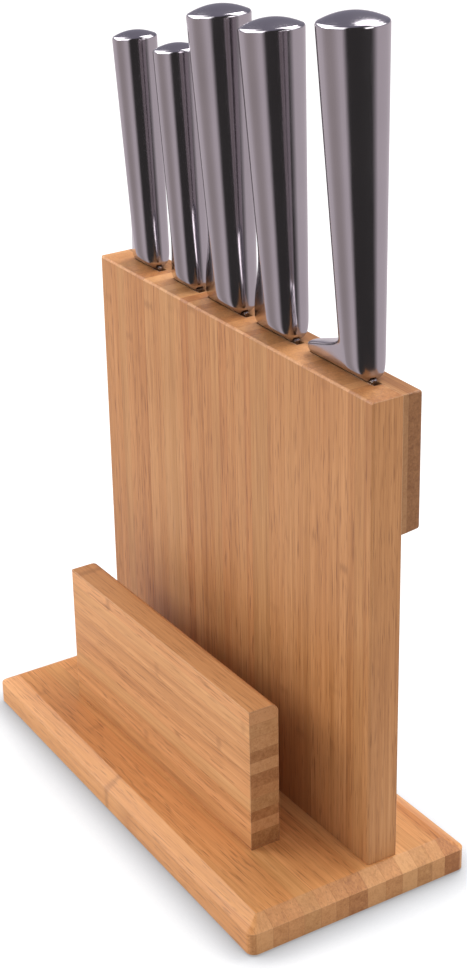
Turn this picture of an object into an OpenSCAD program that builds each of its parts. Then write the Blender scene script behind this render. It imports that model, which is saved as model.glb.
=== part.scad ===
// Bamboo knife block with five all-steel knives standing in slots and a rail that holds a book or tablet.
// Millimetres, +Z up, +X along the block, -Y the front. The origin is under the middle of the base.

/* [Base board] */
// Length of the base board
base_l = 248; // [240:1:300]
// Depth of the base board's right end, front to back
base_w = 114.5; // [110:0.5:120]
// Depth of the base board's left end
base_w_left = 108.5; // [105:0.5:115]
// Thickness of the base board and of the upright board and rail
stock_t = 15; // [14:0.5:20]
// Width of the bevel around the base board's top, seen from above
base_bevel_w = 7.5; // [2:0.5:8]
// Height of the same bevel
base_bevel_h = 4.5; // [2:0.5:6]
// Radius of the base board's upright corners
base_corner_r = 4; // [1:0.5:10]

/* [Upright board] */
// Length of the upright board
upright_l = 220; // [216:1:224]
// Height of the upright board above the base
upright_h = 220; // [214:1:260]
// Middle of the upright board, right of the middle of the base
upright_x = 5.5; // [4:0.5:6]
// Front face of the upright board, behind the middle of the base
upright_y = 9.5; // [5:0.5:20]

/* [Rear cheek] */
// Thickness of the cheek that closes the top of the slots
cheek_t = 9.8; // [8:0.1:14]
// Height of the cheek
cheek_h = 62; // [40:1:90]
// Radius of the cheek's rear edges
cheek_edge_r = 1.5; // [1:0.5:4]

/* [Front rail] */
// Length of the rail
rail_l = 160; // [120:1:200]
// Height of the rail above the base
rail_h = 71.5; // [40:0.5:90]
// Middle of the rail, right of the middle of the base
rail_x = -2; // [-10:0.5:10]
// Clear space between the rail and the upright board
rail_gap = 21.5; // [16:0.5:24]
// Radius of the rail's upper edge that faces the upright board
rail_edge_r = 4; // [1:0.5:6]

/* [Slots] */
// Depth of each slot, cut into the back of the upright board
slot_d = 3.9; // [3.6:0.1:5]
// Space beside the back and the edge of each blade
slot_side = 2.2; // [0.5:0.1:2.5]
// Space below each blade's tip
slot_end = 8; // [4:1:12]

/* [Blades] */
// Length of the paring blade
paring_blade_l = 90; // [80:1:100]
// Length of the utility blade
utility_blade_l = 125; // [110:1:140]
// Length of the bread blade
bread_blade_l = 200; // [180:1:200]
// Length of the carving blade
carving_blade_l = 200; // [180:1:200]
// Length of the chef's blade
chef_blade_l = 200; // [180:1:200]
// Distance between the bread blade's scallops
scallop_pitch = 8; // [6:0.5:12]
// Depth of the bread blade's scallops
scallop_d = 1.2; // [0.6:0.1:2]

/* [Handles] */
// Height of the paring knife's butt above the block
paring_handle_h = 109.6; // [100:0.1:115]
// Height of the utility knife's butt above the block
utility_handle_h = 110.4; // [100:0.1:115]
// Height of the bread knife's butt above the block
bread_handle_h = 133.5; // [125:0.1:140]
// Height of the carving knife's butt above the block
carving_handle_h = 134.8; // [125:0.1:140]
// Height of the chef's knife's butt above the block
chef_handle_h = 146.9; // [140:0.1:150]
// Radius of the small knives' butts
small_butt_r = 10.2; // [9:0.1:11]
// Radius of the medium knives' butts
medium_butt_r = 13.8; // [12:0.1:13.8]
// Radius of the chef's knife's butt
chef_butt_r = 14.6; // [13:0.1:15]
// Wall of the hollow handles
handle_wall = 1.2; // [1:0.1:1.6]
// Gap between each bolster and the top of the block
bolster_gap = 1; // [0.3:0.1:1.5]

/* [Hidden] */

$fn = 48;
cut = 1;                // how far a cutter runs past the face that it opens

bamboo = "#d79a62";
bamboo_dark = "#c2824f";
steel = "#b9b3b8";
bright_steel = "#d5d5d8";
rubber = "#33312f";

// Feet
foot_r = 6;
foot_t = 2;
foot_proud = 1;
foot_inset = 18;

// Levels and faces of the boards
base_back = base_w / 2;
base_z0 = foot_proud;
base_z1 = base_z0 + stock_t;
top_z = base_z1 + upright_h;
upright_x0 = upright_x - upright_l / 2;
upright_x1 = upright_x + upright_l / 2;
upright_back = upright_y + stock_t;
cheek_back = upright_back + cheek_t;
rail_x0 = rail_x - rail_l / 2;
rail_x1 = rail_x + rail_l / 2;
rail_back = upright_y - rail_gap;
rail_y0 = rail_back - stock_t;
rail_z1 = base_z1 + rail_h;
edge = 0.8;             // bevel on the upright board's front edges

// Screws and dowels, which come up through the base
screw_r = 2;
screw_head_r = 4;
screw_head_h = 2.4;
screw_sink = 1.5;
screw_into_board = 24;
recess_w = 0.9;
recess_l = 4;
recess_d = 1.4;
dowel_r = 4;
dowel_into_base = 9;
dowel_into_board = 14;
upright_screw_x = [upright_x - 85, upright_x, upright_x + 85];
upright_dowel_x = [upright_x - 50, upright_x + 50];
rail_screw_x = [rail_x - 60, rail_x + 60];
rail_dowel_x = [rail_x - 30, rail_x + 30];
upright_mid_y = upright_y + stock_t / 2 - 2;
rail_mid_y = rail_y0 + stock_t / 2;

// Knives
blade_y = upright_back - slot_d / 2;    // the blades' plane is the middle of the slots
bolster_z = top_z + bolster_gap;
foot_half = 3;                          // half of the thickness at the bottom of the bevel
bevel_slope = 1.43;                     // how fast the bevel widens to each side as it rises
bevel_power = 6;                        // how crisp the bevel's upper edge is
nip = 1.8;                              // rounding of the foot's lower corners
nip_h = 3;
flank = 0.25;                           // half of the range of cosines in which a ring turns to its heel
cap_rim_r = 1.6;
cap_spigot_h = 4;
cap_spigot_gap = 0.4;
grind = 0.35;                           // part of the width that keeps the full thickness
edge_half = 0.25;                       // half of the cutting edge's thickness
tang_w = 8;
tang_h = 45;
ring_sides = 28;

// A knife is [foot's +X side, how far that side leans by the butt, butt radius, radius at the
// foot, foot length, heel radius, bolster height, where the flare starts and ends above the foot,
// flare power, butt tilt, butt height above the block, dome height, blade's spine, length, width,
// thickness]. A small flare power makes a hollow heel.
PARING = [-69.2, -7, small_butt_r, 8.1, 24.3, 3, 15, 0, 28, 1, 0.12, paring_handle_h, 3.6,
    -70.4, paring_blade_l, 18.5, 2];
UTILITY = [-32.9, -7, small_butt_r, 8.1, 24.3, 3, 15, 0, 28, 1, 0.12, utility_handle_h, 3.6,
    -35, utility_blade_l, 19, 2];
BREAD = [5, -5.2, medium_butt_r, 9.2, 32, 3, 16, 5, 42, 1, 0.114, bread_handle_h, 4.6,
    3.8, bread_blade_l, 28, 2.2];
CARVING = [45, -5.2, medium_butt_r, 9.2, 32, 3, 16, 5, 42, 1, 0.114, carving_handle_h, 4.6,
    43.8, carving_blade_l, 27.5, 2.2];
CHEF = [99.9, -3.2, chef_butt_r, 9, 44.7, 5, 16, 4, 16, 0.6, 0.06, chef_handle_h, 4.8,
    98.9, chef_blade_l, 42, 2.6];
KNIVES = [PARING, UTILITY, BREAD, CARVING, CHEF];

function foot_x(k) = k[0];
function lean(k) = k[1];
function butt_r(k) = k[2];
function foot_r(k) = k[3];
function foot_w(k) = k[4];
function heel_r(k) = k[5];
function neck_h(k) = k[6];
function flare_low(k) = k[7];
function flare_high(k) = k[8];
function flare_power(k) = k[9];
function butt_tilt(k) = k[10];
function dome_h(k) = k[12];
function rim_h(k) = k[11] - dome_h(k) - bolster_gap;
function spine_x(k) = k[13];
function blade_l(k) = k[14];
function blade_w(k) = k[15];
function blade_t(k) = k[16];
function mix(a, b, t) = a + (b - a) * t;
function smooth(t) = let (u = max(0, min(1, t))) u * u * (3 - 2 * u);

// Heights h are above the foot. The +X side runs straight from foot to butt.
function side_x(k, h) = foot_x(k) + lean(k) * h / rim_h(k);
function round_r(k, h) = mix(foot_r(k), butt_r(k), h / rim_h(k));
function tang_x(k) = let (h = neck_h(k) + tang_h) side_x(k, h) - round_r(k, h);

// How far the heel has drawn into the round at h.
function closed(k, h) =
    pow(smooth((h - flare_low(k)) / (flare_high(k) - flare_low(k))), flare_power(k));

// Rounding of the foot's lower corners at h.
function nipped(h) = nip * pow(max(0, 1 - h / nip_h), 2);

// Cosine at which a ring turns from its round to its heel.
function heel_cos(k, r) = (heel_r(k) - r) / (foot_w(k) - r - heel_r(k));

// The half thickness y, held to the bevel's at h.
function bevelled(y, h) =
    let (lid = foot_half + bevel_slope * h)
    y * lid / pow(pow(abs(y), bevel_power) + pow(lid, bevel_power), 1 / bevel_power);

// One closed ring at h, drawn in by skin: a round, drawn out to a thinner heel near the foot,
// bevelled below, and tipped towards the butt's tilt.
function ring(k, h, skin = 0) =
    let (r = round_r(k, h), shut = closed(k, h), heel = mix(heel_r(k), r, shut))
    let (round_x = side_x(k, h) - nipped(h) - r)
    let (heel_x = side_x(k, h) + nipped(h) + heel - mix(foot_w(k), 2 * r, shut))
    let (slope = butt_tilt(k) * smooth((h - neck_h(k)) / (rim_h(k) - neck_h(k))))
    [
        for (i = [0 : ring_sides - 1])
            let (c = cos(360 * i / ring_sides), s = sin(360 * i / ring_sides))
            let (t = smooth((heel_cos(k, r) + flank - c) / (2 * flank)))
            let (x = mix(round_x, heel_x, t) + (mix(r, heel, t) - skin) * c)
            let (y = bevelled((mix(r, heel, t) - skin) * s, h))
            [x, blade_y + y, bolster_z + h + (x - round_x) * slope]
    ];

// Handle ring at t, 0 at the neck and 1 at the butt, drawn in by skin.
function handle_ring(k, t, skin = 0) = ring(k, mix(neck_h(k), rim_h(k), t), skin);

function flat_list(rows) = [for (row = rows) for (item = row) item];

// Skin over a stack of rings that all have the same number of points.
module loft(rings) {
    n = len(rings[0]);
    last = len(rings) - 1;
    sides = [
        for (j = [0 : last - 1]) for (i = [0 : n - 1])
            let (a = j * n + i, b = j * n + (i + 1) % n)
            for (f = [[a, a + n, b + n], [a, b + n, b]]) f
    ];
    lower = [for (i = [0 : n - 1]) i];
    upper = [for (i = [n - 1 : -1 : 0]) last * n + i];
    polyhedron(points = flat_list(rings), faces = concat([lower, upper], sides), convexity = 4);
}

module box(low, high) {
    translate(low) cube(high - low);
}

module rod(x, y, z0, z1, r) {
    translate([x, y, z0]) cylinder(r = r, h = z1 - z0);
}

// The base board's four corners, drawn in by inset and rounded by r.
module base_corners(inset, r, z0, z1) {
    x = base_l / 2 - inset - r;
    back = base_back - inset - r;
    front_left = base_back - base_w_left + inset + r;
    front_right = base_back - base_w + inset + r;
    for (p = [[-x, front_left], [x, front_right], [x, back], [-x, back]])
        translate([p[0], p[1], z0]) cylinder(r = r, h = z1 - z0, $fn = 32);
}

module each_foot() {
    for (sx = [-1, 1], sy = [-1, 1])
        translate([sx * (base_l / 2 - foot_inset), sy * (base_back - foot_inset), 0]) children();
}

module screw_body(x, y) {
    rod(x, y, base_z0 + screw_sink + screw_head_h, base_z1 + screw_into_board, screw_r);
    translate([x, y, base_z0 + screw_sink])
        cylinder(r1 = screw_head_r, r2 = screw_r, h = screw_head_h);
}

module screw_hole(x, y) {
    screw_body(x, y);
    rod(x, y, base_z0 - cut, base_z0 + screw_sink, screw_head_r);
}

module countersunk_screw(x, y) {
    difference() {
        screw_body(x, y);
        for (turn = [0, 90])
            translate([x, y, base_z0 + screw_sink]) rotate(turn)
                cube([recess_l, recess_w, 2 * recess_d], center = true);
    }
}

module dowel(x, y) {
    rod(x, y, base_z1 - dowel_into_base, base_z1 + dowel_into_board, dowel_r);
}

// Groove for one blade, open at the board's top and back.
module slot(k) {
    box([spine_x(k) - blade_w(k) - slot_side, upright_back - slot_d,
            top_z - blade_l(k) - slot_end],
        [spine_x(k) + slot_side, upright_back + cut, top_z + cut]);
}

module base_board() {
    color(bamboo) difference() {
        hull() {
            base_corners(0, base_corner_r, base_z0, base_z1 - base_bevel_h);
            base_corners(base_bevel_w, 0.5, base_z0, base_z1);
        }
        for (x = upright_screw_x) screw_hole(x, upright_mid_y);
        for (x = rail_screw_x) screw_hole(x, rail_mid_y);
        for (x = upright_dowel_x) dowel(x, upright_mid_y);
        for (x = rail_dowel_x) dowel(x, rail_mid_y);
        each_foot() rod(0, 0, 0, foot_t, foot_r);
    }
}

module upright_board() {
    color(bamboo) difference() {
        hull() {
            box([upright_x0, upright_y + edge, base_z1], [upright_x1, upright_back, top_z]);
            box([upright_x0 + edge, upright_y, base_z1],
                [upright_x1 - edge, upright_back, top_z - edge]);
        }
        for (k = KNIVES) slot(k);
        for (x = upright_screw_x) screw_hole(x, upright_mid_y);
        for (x = upright_dowel_x) dowel(x, upright_mid_y);
    }
}

module rear_cheek() {
    color(bamboo_dark) hull() {
        box([upright_x0, upright_back, top_z - cheek_h], [upright_x1, upright_back + 1, top_z]);
        for (x = [upright_x0 + cheek_edge_r, upright_x1 - cheek_edge_r])
            for (z = [top_z - cheek_h + cheek_edge_r, top_z - cheek_edge_r])
                translate([x, cheek_back - cheek_edge_r, z]) sphere(r = cheek_edge_r, $fn = 24);
    }
}

module front_rail() {
    color(bamboo) difference() {
        union() {
            box([rail_x0, rail_y0, base_z1], [rail_x1, rail_back - rail_edge_r, rail_z1]);
            box([rail_x0, rail_y0, base_z1], [rail_x1, rail_back, rail_z1 - rail_edge_r]);
            translate([rail_x0, rail_back - rail_edge_r, rail_z1 - rail_edge_r])
                rotate([0, 90, 0]) cylinder(r = rail_edge_r, h = rail_l);
        }
        for (x = rail_screw_x) screw_hole(x, rail_mid_y);
        for (x = rail_dowel_x) dowel(x, rail_mid_y);
    }
}

module upright_screws() {
    color(bright_steel) for (x = upright_screw_x) countersunk_screw(x, upright_mid_y);
}

module rail_screws() {
    color(bright_steel) for (x = rail_screw_x) countersunk_screw(x, rail_mid_y);
}

module upright_dowels() {
    color(bamboo_dark) for (x = upright_dowel_x) dowel(x, upright_mid_y);
}

module rail_dowels() {
    color(bamboo_dark) for (x = rail_dowel_x) dowel(x, rail_mid_y);
}

module rubber_feet() {
    color(rubber) each_foot() rod(0, 0, 0, foot_t, foot_r);
}

// A belly that keeps the blade's width as far as bend and then sweeps to the tip.
// Its points are [fraction of the length, fraction of the width] from the spine at the heel.
function belly(bend, tip, steps = 12) = concat(
    [[0, 0], [0, 1]],
    [for (i = [0 : steps]) [mix(bend, 1, i / steps), mix(tip, 1, sqrt(1 - pow(i / steps, 2)))]],
    [[mix(bend, 1, 0.6), 0]]
);

// Blade with its edge to -X and a tang that runs up inside the handle.
module blade(k, outline) {
    half = blade_t(k) / 2;
    w = blade_w(k);
    intersection() {
        translate([spine_x(k), blade_y, bolster_z - blade_l(k)])
            linear_extrude(height = blade_l(k))
                polygon([[0, -half], [0, half], [-grind * w, half], [-w, edge_half],
                    [-w, -edge_half], [-grind * w, -half]]);
        translate([spine_x(k), blade_y + 2 * half, bolster_z]) rotate([90, 0, 0])
            linear_extrude(height = 4 * half)
                polygon([for (p = outline) [-p[1] * w, -p[0] * blade_l(k)]]);
    }
    tang(k);
}

module tang(k) {
    box([tang_x(k) - tang_w / 2, blade_y - blade_t(k) / 2, bolster_z],
        [tang_x(k) + tang_w / 2, blade_y + blade_t(k) / 2, bolster_z + neck_h(k) + tang_h]);
}

module bolster(k) {
    difference() {
        loft([for (t = [0, 0.03, 0.07, 0.12, 0.19, 0.27, 0.37, 0.48, 0.6, 0.73, 0.86, 1])
            ring(k, t * neck_h(k))]);
        tang(k);
    }
}

// Hollow handle, open at the neck and at the butt.
module handle(k) {
    difference() {
        loft([for (t = [0, 0.08, 0.2, 0.4, 0.7, 1]) handle_ring(k, t)]);
        loft([for (t = [-0.02, 0.08, 0.2, 0.4, 0.7, 1.02]) handle_ring(k, t, handle_wall)]);
    }
}

// Domed cap with a rounded rim and a short spigot inside the handle.
module butt_cap(k) {
    r = butt_r(k);
    spigot_r = r - handle_wall - cap_spigot_gap;
    rim = [for (a = [0 : 15 : 75])
        [r - cap_rim_r * (1 - cos(a)), cap_rim_r * sin(a)]];
    dome = [for (t = [0 : 0.1 : 1.001])
        [(r - cap_rim_r) * (1 - t), mix(cap_rim_r, dome_h(k), 1 - pow(1 - t, 2))]];
    translate([side_x(k, rim_h(k)) - r, blade_y, bolster_z + rim_h(k)])
        rotate([0, -atan(butt_tilt(k)), 0]) rotate_extrude()
            polygon(concat([[0, -cap_spigot_h], [spigot_r, -cap_spigot_h], [spigot_r, 0]], rim, dome));
}

module paring_blade() { color(bright_steel) blade(PARING, belly(0.45, 0.15)); }
module paring_bolster() { color(steel) bolster(PARING); }
module paring_handle() { color(steel) handle(PARING); }
module paring_butt_cap() { color(steel) butt_cap(PARING); }

module utility_blade() { color(bright_steel) blade(UTILITY, belly(0.6, 0.1)); }
module utility_bolster() { color(steel) bolster(UTILITY); }
module utility_handle() { color(steel) handle(UTILITY); }
module utility_butt_cap() { color(steel) butt_cap(UTILITY); }

// The bread blade's edge has a row of scallops.
module bread_blade() {
    scallop_r = (pow(scallop_pitch / 2, 2) + pow(scallop_d, 2)) / (2 * scallop_d);
    edge_x = spine_x(BREAD) - blade_w(BREAD);
    color(bright_steel) difference() {
        blade(BREAD, belly(0.9, 0.45));
        for (z = [bolster_z - 14 : -scallop_pitch : bolster_z - 0.88 * bread_blade_l])
            translate([edge_x + scallop_d - scallop_r, blade_y, z]) rotate([90, 0, 0])
                cylinder(r = scallop_r, h = 2 * slot_d, center = true);
    }
}
module bread_bolster() { color(steel) bolster(BREAD); }
module bread_handle() { color(steel) handle(BREAD); }
module bread_butt_cap() { color(steel) butt_cap(BREAD); }

module carving_blade() { color(bright_steel) blade(CARVING, belly(0.72, 0.1)); }
module carving_bolster() { color(steel) bolster(CARVING); }
module carving_handle() { color(steel) handle(CARVING); }
module carving_butt_cap() { color(steel) butt_cap(CARVING); }

module chef_blade() { color(bright_steel) blade(CHEF, belly(0.35, 0.08)); }
module chef_bolster() { color(steel) bolster(CHEF); }
module chef_handle() { color(steel) handle(CHEF); }
module chef_butt_cap() { color(steel) butt_cap(CHEF); }

base_board();
upright_board();
rear_cheek();
front_rail();
upright_screws();
rail_screws();
upright_dowels();
rail_dowels();
rubber_feet();
paring_blade();
paring_bolster();
paring_handle();
paring_butt_cap();
utility_blade();
utility_bolster();
utility_handle();
utility_butt_cap();
bread_blade();
bread_bolster();
bread_handle();
bread_butt_cap();
carving_blade();
carving_bolster();
carving_handle();
carving_butt_cap();
chef_blade();
chef_bolster();
chef_handle();
chef_butt_cap();
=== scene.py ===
"""Knife block with knives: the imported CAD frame, dressed with laminated bamboo and polished steel."""

import math

import bpy
from mathutils import Matrix, Vector


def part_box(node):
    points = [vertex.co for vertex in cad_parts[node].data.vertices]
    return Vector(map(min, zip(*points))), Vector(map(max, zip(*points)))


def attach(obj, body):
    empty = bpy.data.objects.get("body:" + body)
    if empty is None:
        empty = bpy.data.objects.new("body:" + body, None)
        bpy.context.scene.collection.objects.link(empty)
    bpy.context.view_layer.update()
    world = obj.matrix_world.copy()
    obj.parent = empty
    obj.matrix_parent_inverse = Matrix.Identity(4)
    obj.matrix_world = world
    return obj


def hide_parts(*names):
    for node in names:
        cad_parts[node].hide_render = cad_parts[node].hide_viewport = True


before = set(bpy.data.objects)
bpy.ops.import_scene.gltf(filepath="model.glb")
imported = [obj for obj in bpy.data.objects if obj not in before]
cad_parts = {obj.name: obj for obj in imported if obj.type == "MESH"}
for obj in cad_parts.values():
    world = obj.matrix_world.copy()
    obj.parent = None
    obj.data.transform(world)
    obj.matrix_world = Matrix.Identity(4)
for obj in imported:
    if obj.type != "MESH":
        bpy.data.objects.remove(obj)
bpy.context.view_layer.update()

MM = 0.001


# ---------------------------------------------------------------- camera

SENSOR = 36.0               # millimetres, the sensor's long side
LENS = 74.902               # millimetres
VIEW_AZIMUTH = 58.94        # degrees, 0 looks along +Y
VIEW_ELEVATION = 24.69
VIEW_ROLL = 1.578
VIEW_DISTANCE = 0.9053
VIEW_TARGET = Vector((0.0, 0.0, 0.1707))
SHIFT = (0.0323, -0.0261)


def make_camera():
    a, e = math.radians(VIEW_AZIMUTH), math.radians(VIEW_ELEVATION)
    back = Vector((math.sin(a) * math.cos(e), -math.cos(a) * math.cos(e), math.sin(e)))
    data = bpy.data.cameras.new("camera")
    data.sensor_width = SENSOR
    data.lens = LENS
    data.shift_x, data.shift_y = SHIFT
    camera = bpy.data.objects.new("camera", data)
    upright = (-back).to_track_quat("-Z", "Y").to_matrix().to_4x4()
    roll = Matrix.Rotation(math.radians(-VIEW_ROLL), 4, "Z")
    camera.matrix_world = Matrix.Translation(VIEW_TARGET + back * VIEW_DISTANCE) @ upright @ roll
    bpy.context.scene.collection.objects.link(camera)
    bpy.context.scene.camera = camera


# ---------------------------------------------------------------- node helpers

class Nodes:
    """Short ways to add and join nodes in one material."""

    def __init__(self, name):
        self.material = bpy.data.materials.new(name)
        self.material.use_nodes = True
        self.tree = self.material.node_tree
        self.shader = self.tree.nodes["Principled BSDF"]

    def add(self, kind, **inputs):
        node = self.tree.nodes.new(kind)
        for key, value in inputs.items():
            self.set(node, key.replace("_", " "), value)
        return node

    def plug(self, socket, value):
        """Link an output to the socket, or give the socket a plain value."""
        if isinstance(value, bpy.types.NodeSocket):
            self.tree.links.new(value, socket)
        else:
            socket.default_value = value

    def set(self, node, key, value):
        self.plug(node.inputs[key], value)

    def math(self, operation, a, b=0.0):
        node = self.tree.nodes.new("ShaderNodeMath")
        node.operation = operation
        for socket, value in zip(node.inputs, (a, b)):
            self.plug(socket, value)
        return node.outputs[0]

    def join(self, x, y, z):
        node = self.tree.nodes.new("ShaderNodeCombineXYZ")
        for socket, value in zip(node.inputs, (x, y, z)):
            self.plug(socket, value)
        return node.outputs[0]

    def coordinates(self, kind="Object"):
        """X, Y and Z of the place on the object, or of another kind of coordinates."""
        source = self.tree.nodes.new("ShaderNodeTexCoord")
        return self.add("ShaderNodeSeparateXYZ", Vector=source.outputs[kind]).outputs

    def dot(self, a, b):
        node = self.tree.nodes.new("ShaderNodeVectorMath")
        node.operation = "DOT_PRODUCT"
        for socket, value in zip(node.inputs, (a, b)):
            self.plug(socket, value)
        return node.outputs["Value"]

    def noise(self, vector, detail=2.0, roughness=0.5):
        node = self.add("ShaderNodeTexNoise", Vector=vector, Scale=1.0, Detail=detail, Roughness=roughness)
        return node.outputs["Fac"]

    def ramp(self, value, *stops):
        node = self.add("ShaderNodeValToRGB", Fac=value)
        elements = node.color_ramp.elements
        while len(elements) < len(stops):
            elements.new(0.5)
        for element, (place, colour) in zip(elements, stops):
            element.position = place
            element.color = (*colour, 1.0) if isinstance(colour, tuple) else (colour,) * 3 + (1.0,)
        return node.outputs["Color"]

    def span(self, value, low, high, to_low=0.0, to_high=1.0):
        node = self.add("ShaderNodeMapRange", Value=value)
        limits = {"From Min": low, "From Max": high, "To Min": to_low, "To Max": to_high}
        for key, number in limits.items():
            node.inputs[key].default_value = number
        return node.outputs[0]

    def mix(self, factor, a, b, mode="MIX"):
        node = self.tree.nodes.new("ShaderNodeMix")
        node.data_type = "RGBA"
        node.blend_type = mode
        for socket, value in ((node.inputs[0], factor), (node.inputs[6], a), (node.inputs[7], b)):
            self.plug(socket, (*value, 1.0) if isinstance(value, tuple) else value)
        return node.outputs[2]

    def lanes(self, value):
        """Two numbers for the cell of an uneven 1-D row that value is in, and the distance to its edge."""
        outputs = []
        for feature, output in (("F1", "Color"), ("DISTANCE_TO_EDGE", "Distance")):
            cells = self.tree.nodes.new("ShaderNodeTexVoronoi")
            cells.voronoi_dimensions = "1D"
            cells.feature = feature
            self.set(cells, "W", value)
            self.set(cells, "Scale", 1.0)
            self.set(cells, "Randomness", 0.75)
            outputs.append(cells.outputs[output])
        pick = self.add("ShaderNodeSeparateColor", Color=outputs[0]).outputs
        return pick[0], pick[1], outputs[1]

    def bump(self, height, distance, normal=None):
        node = self.add("ShaderNodeBump", Height=height, Distance=distance)
        if normal is not None:
            self.set(node, "Normal", normal)
        self.set(self.shader, "Normal", node.outputs["Normal"])


# ---------------------------------------------------------------- bamboo

STRAW = (0.72, 0.375, 0.17)
HONEY = (0.58, 0.275, 0.108)
CARAMEL = (0.40, 0.165, 0.056)
STREAK = (0.20, 0.068, 0.02)
RUDDY = (1.0, 0.93, 0.84)
YELLOW = (1.0, 1.05, 1.0)
# Pale colour of the painted highlight along the arrises
EDGE_HIGHLIGHT = (0.86, 0.55, 0.33)
KNUCKLE_PITCH = 310 * MM
ARRIS_R = 0.7 * MM
FIBRE_DEPTH = 0.12 * MM


def bamboo(name, grain, across, strip, seed, tint, end_tone_and_top_light=1.0):
    """Laminated bamboo. grain and across are 0, 1 or 2 for X, Y or Z; strip is the mean strip width.

    tint multiplies the colour everywhere and the end tone multiplies it again on end grain, which on the
    upright is its top, lightened there as a painted highlight.
    """
    n = Nodes(name)
    place = n.coordinates()
    facing = n.coordinates("Normal")
    g, w, t = place[grain], place[across], place[3 - grain - across]
    end_grain = n.span(n.math("ABSOLUTE", facing[grain]), 0.3, 0.7)

    # Strips of uneven width, each with its own numbers between 0 and 1
    wave = n.noise(n.join(n.math("MULTIPLY", g, 1.2), n.math("MULTIPLY", w, 20.0), seed), 0.0)
    lane = n.math("ADD", n.math("DIVIDE", w, strip), n.math("MULTIPLY", wave, 0.12))
    lane = n.math("ADD", lane, seed * 7.3)
    own, other, edge_distance = n.lanes(lane)
    seam = n.span(edge_distance, 0.0, 0.035, 1.0, 0.0)

    # Fibres run along the grain and start at a different place in each strip
    start = n.math("MULTIPLY", own, 40.0)

    def streaks(width, length, detail):
        along = n.math("ADD", n.math("DIVIDE", g, length), start)
        return n.noise(n.join(n.math("DIVIDE", w, width), n.math("DIVIDE", t, width), along), detail)

    broad = streaks(3.2 * MM, 170 * MM, 2.0)
    fibres = streaks(1.1 * MM, 60 * MM, 2.5)
    hairs = streaks(0.55 * MM, 30 * MM, 2.0)
    pores = streaks(0.65 * MM, 12 * MM, 1.0)
    cloud = n.noise(n.join(*(n.math("MULTIPLY", p, 14.0) for p in place)), 2.0)

    shade = n.math("MULTIPLY", n.math("SUBTRACT", own, 0.5), n.span(end_grain, 0.0, 1.0, 0.20, 0.62))
    for part, weight in ((broad, 0.55), (fibres, 0.62), (hairs, 0.42), (cloud, 0.25)):
        shade = n.math("ADD", shade, n.math("MULTIPLY", n.math("SUBTRACT", part, 0.5), weight))
    colour = n.ramp(n.math("ADD", shade, 0.52), (0.15, CARAMEL), (0.48, HONEY), (0.82, STRAW))
    colour = n.mix(other, n.mix(1.0, colour, RUDDY, "MULTIPLY"), n.mix(1.0, colour, YELLOW, "MULTIPLY"))

    # Short dark dashes, thicker in some strips than in others
    dash = n.math("MULTIPLY", n.span(pores, 0.58, 0.72), n.span(other, 0.0, 1.0, 0.65, 0.15))
    dash = n.math("MULTIPLY", dash, n.span(end_grain, 0.0, 1.0, 1.0, 0.3))
    colour = n.mix(dash, colour, STREAK)

    # A knuckle crosses each strip now and then, at the strip's own height
    cycle = n.math("ADD", n.math("DIVIDE", g, KNUCKLE_PITCH), n.math("MULTIPLY", other, 3.0))
    phase = n.math("ABSOLUTE", n.math("SUBTRACT", n.math("FRACT", n.math("ADD", cycle, 5.0)), 0.5))
    ragged = n.math("MULTIPLY", n.math("SUBTRACT", fibres, 0.5), 0.012)
    knuckle = n.span(n.math("ADD", phase, ragged), 0.002, 0.009, 1.0, 0.0)
    knuckle = n.math("MULTIPLY", knuckle, n.span(own, 0.35, 0.9, 0.03, 0.34))
    colour = n.mix(knuckle, colour, STREAK)

    colour = n.mix(n.math("MULTIPLY", seam, 0.42), colour, CARAMEL)
    # On the upright the end grain is its top, and the end tone lightens it as painted light from above
    colour = n.mix(1.0, colour, n.mix(end_grain, tint, tuple(c * end_tone_and_top_light for c in tint)), "MULTIPLY")

    # The bevel normal rounds the arrises in the shading, and a pale colour along them is a painted
    # highlight
    arris = n.add("ShaderNodeBevel", Radius=ARRIS_R)
    arris.samples = 6
    flat = n.tree.nodes.new("ShaderNodeNewGeometry").outputs["Normal"]
    painted_edge_highlight = n.span(n.dot(arris.outputs[0], flat), 0.97, 0.80)
    colour = n.mix(n.math("MULTIPLY", painted_edge_highlight, 0.30), colour, EDGE_HIGHLIGHT)

    n.set(n.shader, "Base Color", colour)
    n.set(n.shader, "Roughness", n.span(fibres, 0.3, 0.7, 0.38, 0.54))
    n.set(n.shader, "Specular IOR Level", 0.35)
    height = n.math("ADD", n.math("MULTIPLY", fibres, 0.6), n.math("MULTIPLY", hairs, 0.4))
    grooves = n.math("ADD", n.math("MULTIPLY", seam, 0.3), n.math("MULTIPLY", dash, 0.4))
    n.bump(n.math("SUBTRACT", height, grooves), FIBRE_DEPTH, arris.outputs[0])
    return n.material


# ---------------------------------------------------------------- metals and rubber

def steel(name, colour, roughness, brush, amount):
    """Satin steel. brush is the grain's length along X, Y and Z, and amount is the grain's depth."""
    n = Nodes(name)
    place = n.coordinates()
    grain = n.noise(n.join(*(n.math("DIVIDE", p, b) for p, b in zip(place, brush))), 2.0)
    cloud = n.noise(n.join(*(n.math("MULTIPLY", p, 35.0) for p in place)), 3.0)
    tint = n.mix(n.span(cloud, 0.3, 0.7), tuple(0.94 * c for c in colour), colour)
    n.set(n.shader, "Base Color", tint)
    n.set(n.shader, "Metallic", 1.0)
    level = n.math("ADD", n.span(grain, 0.3, 0.7, -0.03, 0.03), n.span(cloud, 0.3, 0.7, -0.015, 0.015))
    n.set(n.shader, "Roughness", n.math("ADD", level, roughness))
    n.bump(grain, amount)
    return n.material


def rubber():
    n = Nodes("rubber")
    grit = n.noise(n.join(*(n.math("MULTIPLY", p, 2500.0) for p in n.coordinates())), 2.0)
    n.set(n.shader, "Base Color", n.mix(grit, (0.018, 0.018, 0.018), (0.035, 0.034, 0.033)))
    n.set(n.shader, "Roughness", n.span(grit, 0.3, 0.7, 0.75, 0.9))
    n.bump(grit, 0.08 * MM)
    return n.material


# ---------------------------------------------------------------- knives

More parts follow.
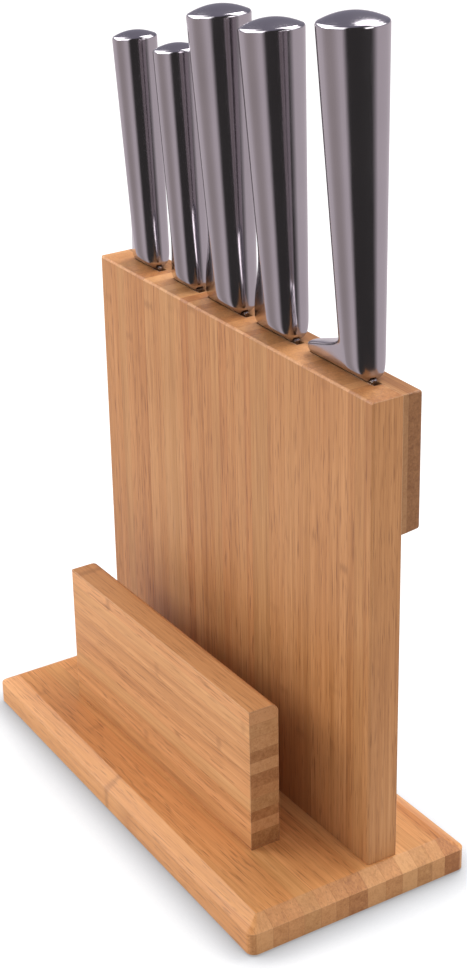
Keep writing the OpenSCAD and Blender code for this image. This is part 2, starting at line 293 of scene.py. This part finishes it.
SIDES = 144                 # points in each ring
BOLSTER_STEPS = 32
HANDLE_STEPS = 36
RIM_STEPS = 8
DOME_STEPS = 16
BLADE_Y = (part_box("chef_butt_cap")[0].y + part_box("chef_butt_cap")[1].y) / 2
TOP_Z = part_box("upright_board")[1].z
BOLSTER_GAP = 1.0 * MM
FOOT_Z = TOP_Z + BOLSTER_GAP
FOOT_HALF = 3.0 * MM        # half of the thickness at the bottom of the bevel under each bolster
BEVEL_SLOPE = 1.43          # how fast the bevel widens to each side as it rises
BEVEL_POWER = 6             # how crisp the bevel's upper edge is
NIP = 1.8 * MM              # rounding of the foot's lower corners
NIP_H = 3.0 * MM
FLANK = 0.25                # half of the range of cosines in which a ring turns from its round to its heel
RIM_R = 1.6 * MM
RIM_TURN = 75               # degrees that a cap's rounded rim turns before the dome

# name: foot's +X side, how far that side leans by the butt, butt radius, radius at the foot, foot length,
# heel radius, bolster height, where the flare starts and ends above the foot, flare power, butt tilt,
# butt height above the block, dome height. Lengths are in millimetres. A small flare power makes a
# hollow heel.
KNIVES = {
    "paring": (-69.2, -7.0, 10.2, 8.1, 24.3, 3, 15, 0, 28, 1, 0.12, 109.6, 3.6),
    "utility": (-32.9, -7.0, 10.2, 8.1, 24.3, 3, 15, 0, 28, 1, 0.12, 110.4, 3.6),
    "bread": (5.0, -5.2, 13.8, 9.2, 32, 3, 16, 5, 42, 1, 0.114, 133.5, 4.6),
    "carving": (45.0, -5.2, 13.8, 9.2, 32, 3, 16, 5, 42, 1, 0.114, 134.8, 4.6),
    "chef": (99.9, -3.2, 14.6, 9.0, 44.7, 5, 16, 4, 16, 0.6, 0.06, 146.9, 4.8),
}


def mix(a, b, t):
    return a + (b - a) * t


def smooth(t):
    t = max(0.0, min(1.0, t))
    return t * t * (3 - 2 * t)


class Knife:
    """The shape of one knife's steel parts, ring by ring, as in the CAD model."""

    def __init__(self, name):
        lengths = [v * MM for v in KNIVES[name]]
        (self.foot_x, self.lean, self.butt_r, self.foot_r, self.foot_w, self.heel_r, self.neck_h,
         self.flare_low, self.flare_high) = lengths[:9]
        self.flare_power, self.tilt = KNIVES[name][9:11]
        butt_h, self.dome_h = lengths[11:]
        self.rim_h = TOP_Z + butt_h - self.dome_h - FOOT_Z

    def side_x(self, h):
        """The +X side runs straight from the foot to the butt."""
        return self.foot_x + self.lean * h / self.rim_h

    def ring(self, h):
        """Ring at h above the foot: a round, with a thinner heel near the foot and a bevel under it."""
        r = mix(self.foot_r, self.butt_r, h / self.rim_h)
        closed = smooth((h - self.flare_low) / (self.flare_high - self.flare_low)) ** self.flare_power
        heel_r = mix(self.heel_r, r, closed)
        nip = NIP * max(0.0, 1 - h / NIP_H) ** 2
        round_x = self.side_x(h) - nip - r
        heel_x = self.side_x(h) - mix(self.foot_w, 2 * r, closed) + nip + heel_r
        flank = (self.heel_r - r) / (self.foot_w - r - self.heel_r)
        lid = FOOT_HALF + BEVEL_SLOPE * h
        slope = self.tilt * smooth((h - self.neck_h) / (self.rim_h - self.neck_h))
        points = []
        for i in range(SIDES):
            c, s = math.cos(2 * math.pi * i / SIDES), math.sin(2 * math.pi * i / SIDES)
            t = smooth((flank + FLANK - c) / (2 * FLANK))
            x = mix(round_x, heel_x, t) + mix(r, heel_r, t) * c
            y = mix(r, heel_r, t) * s
            y *= lid / (abs(y) ** BEVEL_POWER + lid ** BEVEL_POWER) ** (1 / BEVEL_POWER)
            points.append((x, BLADE_Y + y, FOOT_Z + h + (x - round_x) * slope))
        return points

    def cap_rings(self):
        """Rim and dome, tipped square to the handle."""
        turns = [math.radians(RIM_TURN * i / RIM_STEPS) for i in range(RIM_STEPS + 1)]
        profile = [(self.butt_r - RIM_R * (1 - math.cos(a)), RIM_R * math.sin(a)) for a in turns]
        rim_r, rim_h = profile[-1]
        for i in range(1, DOME_STEPS):
            t = i / DOME_STEPS
            profile.append((rim_r * (1 - t), mix(rim_h, self.dome_h, 1 - (1 - t) ** 2)))
        centre = Vector((self.side_x(self.rim_h) - self.butt_r, BLADE_Y, FOOT_Z + self.rim_h))
        tip = Matrix.Rotation(-math.atan(self.tilt), 3, "Y")
        around = [2 * math.pi * i / SIDES for i in range(SIDES)]
        return [[tuple(centre + tip @ Vector((r * math.cos(a), r * math.sin(a), h))) for a in around]
                for r, h in profile]


def loft(name, rings):
    """Closed smooth mesh through a stack of rings, with flat ends."""
    n = len(rings[0])
    points = [p for row in rings for p in row]
    faces = [(j * n + i, j * n + (i + 1) % n, (j + 1) * n + (i + 1) % n, (j + 1) * n + i)
             for j in range(len(rings) - 1) for i in range(n)]
    faces.append(tuple(reversed(range(n))))
    faces.append(tuple((len(rings) - 1) * n + i for i in range(n)))
    mesh = bpy.data.meshes.new(name)
    mesh.from_pydata(points, [], faces)
    mesh.validate()
    obj = bpy.data.objects.new(name, mesh)
    bpy.context.scene.collection.objects.link(obj)
    mesh.polygons.foreach_set("use_smooth", [True] * len(mesh.polygons))
    mesh.set_sharp_from_angle(angle=math.radians(35))
    return obj


def dress_knife(name, metal):
    """Smooth bolster, handle and cap in place of the faceted ones. The rings lie closer near the foot."""
    knife = Knife(name)
    bolster_h = [knife.neck_h * i / BOLSTER_STEPS for i in range(BOLSTER_STEPS + 1)]
    handle_h = [mix(knife.neck_h, knife.rim_h, (i / HANDLE_STEPS) ** 1.4) for i in range(HANDLE_STEPS + 1)]
    bolster = loft(f"{name}_bolster_smooth", [knife.ring(h) for h in bolster_h])
    handle = loft(f"{name}_handle_smooth", [knife.ring(h) for h in handle_h])
    cap = loft(f"{name}_cap_smooth", knife.cap_rings())
    for piece, node in ((bolster, "bolster"), (handle, "handle"), (cap, "butt_cap")):
        piece.data.materials.append(metal)
        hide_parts(f"{name}_{node}")
        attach(piece, f"{name}_knife")


# ---------------------------------------------------------------- floor and light

FLOOR_REACH = 5.0
SHADOW_REACH = 55 * MM
# Painted shadow: the sheet's glow by how open it is to the room, from beside the base to the open floor
SHADOW = (0.45, (0.30, 0.31, 0.32))
HALF_SHADOW = (0.80, (0.62, 0.63, 0.65))
OPEN = (0.98, 0.97)


def make_sheet():
    """The white sheet that everything stands on. The world stands for it in the steel's reflections."""
    far = FLOOR_REACH
    mesh = bpy.data.meshes.new("floor")
    mesh.from_pydata([(-far, -far, 0), (far, -far, 0), (far, far, 0), (-far, far, 0)], [], [(0, 1, 2, 3)])
    sheet = bpy.data.objects.new("floor", mesh)
    bpy.context.scene.collection.objects.link(sheet)
    n = Nodes("floor")
    # The sheet glows, and ambient occlusion paints a contact shadow into the glow beside the object
    nearby = n.add("ShaderNodeAmbientOcclusion", Distance=SHADOW_REACH)
    nearby.samples = 16
    painted_shadow_glow = n.ramp(nearby.outputs["AO"], SHADOW, HALF_SHADOW, OPEN)
    n.set(n.shader, "Base Color", (0.2, 0.2, 0.2, 1.0))
    n.set(n.shader, "Roughness", 0.9)
    n.set(n.shader, "Specular IOR Level", 0.1)
    n.set(n.shader, "Emission Color", painted_shadow_glow)
    n.set(n.shader, "Emission Strength", 1.0)
    mesh.materials.append(n.material)
    sheet.visible_glossy = False


def area_light(name, place, target, size, power):
    data = bpy.data.lights.new(name, "AREA")
    data.shape = "RECTANGLE"
    data.size, data.size_y = size
    data.energy = power
    light = bpy.data.objects.new(name, data)
    light.location = place
    light.rotation_mode = "QUATERNION"
    light.rotation_quaternion = (Vector(target) - Vector(place)).to_track_quat("-Z", "Y")
    bpy.context.scene.collection.objects.link(light)


class World(Nodes):
    """The studio around the object."""

    def __init__(self):
        self.world = bpy.data.worlds.new("studio")
        self.world.use_nodes = True
        self.tree = self.world.node_tree
        self.tree.nodes.clear()
        bpy.context.scene.world = self.world
        direction = self.tree.nodes.new("ShaderNodeTexCoord").outputs["Generated"]
        self.direction = self.add("ShaderNodeVectorMath", Vector=direction)
        self.direction.operation = "NORMALIZE"
        self.height = self.add("ShaderNodeSeparateXYZ", Vector=self.direction.outputs[0]).outputs[2]
        flat = self.add("ShaderNodeVectorMath", Vector=direction)
        flat.operation = "MULTIPLY"
        flat.inputs[1].default_value = (1, 1, 0)
        self.flat = self.add("ShaderNodeVectorMath", Vector=flat.outputs[0])
        self.flat.operation = "NORMALIZE"

    def sector(self, azimuth, half_width, low, high, soft):
        """1 inside a range of azimuth and elevation, in degrees, and 0 outside it."""
        a = math.radians(azimuth)
        widest, narrowest = (math.cos(math.radians(half_width + d)) for d in (soft, -soft))
        low_0, low_1 = (math.sin(math.radians(low + d)) for d in (-soft, soft))
        high_0, high_1 = (math.sin(math.radians(high + d)) for d in (soft, -soft))
        along = self.dot(self.flat.outputs[0], (math.sin(a), -math.cos(a), 0))
        inside = self.span(along, widest, narrowest)
        above = self.span(self.height, low_0, low_1)
        below = self.span(self.height, high_0, high_1)
        return self.math("MULTIPLY", inside, self.math("MULTIPLY", above, below))

    def background(self, colour, strength=1.0):
        return self.add("ShaderNodeBackground", Color=colour, Strength=strength).outputs[0]

    def choose(self, factor, first, second):
        node = self.tree.nodes.new("ShaderNodeMixShader")
        for socket, link in zip(node.inputs, (factor, first, second)):
            self.tree.links.new(link, socket)
        return node.outputs[0]


SHEET = (0.78, 0.71, 0.76)
WALL = (0.30, 0.29, 0.36)
SHADED_SHEET = (0.52, 0.46, 0.47)
LAMP = (3.4, 3.4, 3.5)
DARK = (0.055, 0.052, 0.052)

# What the steel mirrors in front of the sheet and the wall. Each place is an azimuth, its half width,
# the lowest and highest elevation, and the softness of the edges, in degrees.
PANELS = [
    ((-25, 20, -70, 0, 14), SHADED_SHEET),
    ((-35, 64, 10, 54, 3), LAMP),
    ((150, 28, 10, 54, 3), LAMP),
    ((69, 41, -80, 52, 7), DARK),
    ((100, 22, -80, 52, 12), DARK),
]


def make_world():
    """Reflections see the sheet, wall and panels. The camera sees white, and other light is even."""
    w = World()
    colour = w.mix(w.span(w.height, -0.03, 0.03), SHEET, WALL)
    for place, shade in PANELS:
        colour = w.mix(w.sector(*place), colour, shade)
    mirrored = w.background(colour)
    path = w.tree.nodes.new("ShaderNodeLightPath")
    lit = w.background((0.95, 0.95, 1.0, 1.0), 0.55)
    seen = w.background((1.0, 1.0, 1.0, 1.0))
    shown = w.choose(path.outputs["Is Glossy Ray"], lit, mirrored)
    shown = w.choose(path.outputs["Is Camera Ray"], shown, seen)
    out = w.tree.nodes.new("ShaderNodeOutputWorld")
    w.tree.links.new(shown, out.inputs[0])


def make_lights():
    area_light("back_top", (-0.10, 0.75, 1.35), (0, 0, 0.15), (0.9, 0.7), 16)
    area_light("front_left", (-0.9, -1.1, 0.9), (0, 0, 0.12), (0.9, 0.9), 14)
    area_light("right_low", (1.5, 0.4, 0.7), (0, 0, 0.12), (0.7, 0.7), 5)


# ---------------------------------------------------------------- put together

X, Y, Z = 0, 1, 2


def dress_block():
    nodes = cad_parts
    fine = (0.6 * MM,) * 3
    # Bamboo takes the grain's axis, the axis across it, strip width, seed, tint and end tone
    looks = {
        "base_board": bamboo("bamboo_base", X, Y, 8.5 * MM, 1.7, (1.06, 1.0, 0.9), 0.70),
        # The upright's darker tint is partly its own colour and partly painted shade on its front; its end
        # tone lightens its top as painted light
        "upright_board": bamboo("bamboo_upright", Z, X, 6.5 * MM, 3.1, (0.78, 0.745, 0.72), 1.12),
        "rear_cheek": bamboo("bamboo_cheek", X, Y, 3.5 * MM, 5.9, (0.66, 0.60, 0.55), 0.72),
        "front_rail": bamboo("bamboo_rail", X, Z, 6.0 * MM, 8.3, (1.0, 0.98, 0.98), 0.66),
        "upright_dowels": bamboo("dowel_wood", Z, X, 6.0 * MM, 2.2, (1.2, 1.2, 1.3)),
        "rubber_feet": rubber(),
        "upright_screws": steel("screw_steel", (0.55, 0.53, 0.48), 0.32, fine, 0.02 * MM),
    }
    looks["rail_dowels"] = looks["upright_dowels"]
    looks["rail_screws"] = looks["upright_screws"]
    for node, look in looks.items():
        set_material(nodes[node], look)


def set_material(obj, look):
    for slot in obj.material_slots:
        slot.material = look
    if not obj.material_slots:
        obj.data.materials.append(look)


def dress_knives():
    polished_up = (0.6 * MM, 0.6 * MM, 12 * MM)
    ground_across = (10 * MM, 0.5 * MM, 0.5 * MM)
    metal = steel("handle_steel", (0.44, 0.41, 0.43), 0.15, polished_up, 0.004 * MM)
    ground = steel("blade_steel", (0.62, 0.61, 0.62), 0.22, ground_across, 0.008 * MM)
    for name in KNIVES:
        set_material(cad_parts[f"{name}_blade"], ground)
        dress_knife(name, metal)


make_camera()
make_sheet()
make_world()
make_lights()
dress_block()
dress_knives()

scene = bpy.context.scene
scene.view_settings.view_transform = "Standard"
scene.view_settings.look = "None"
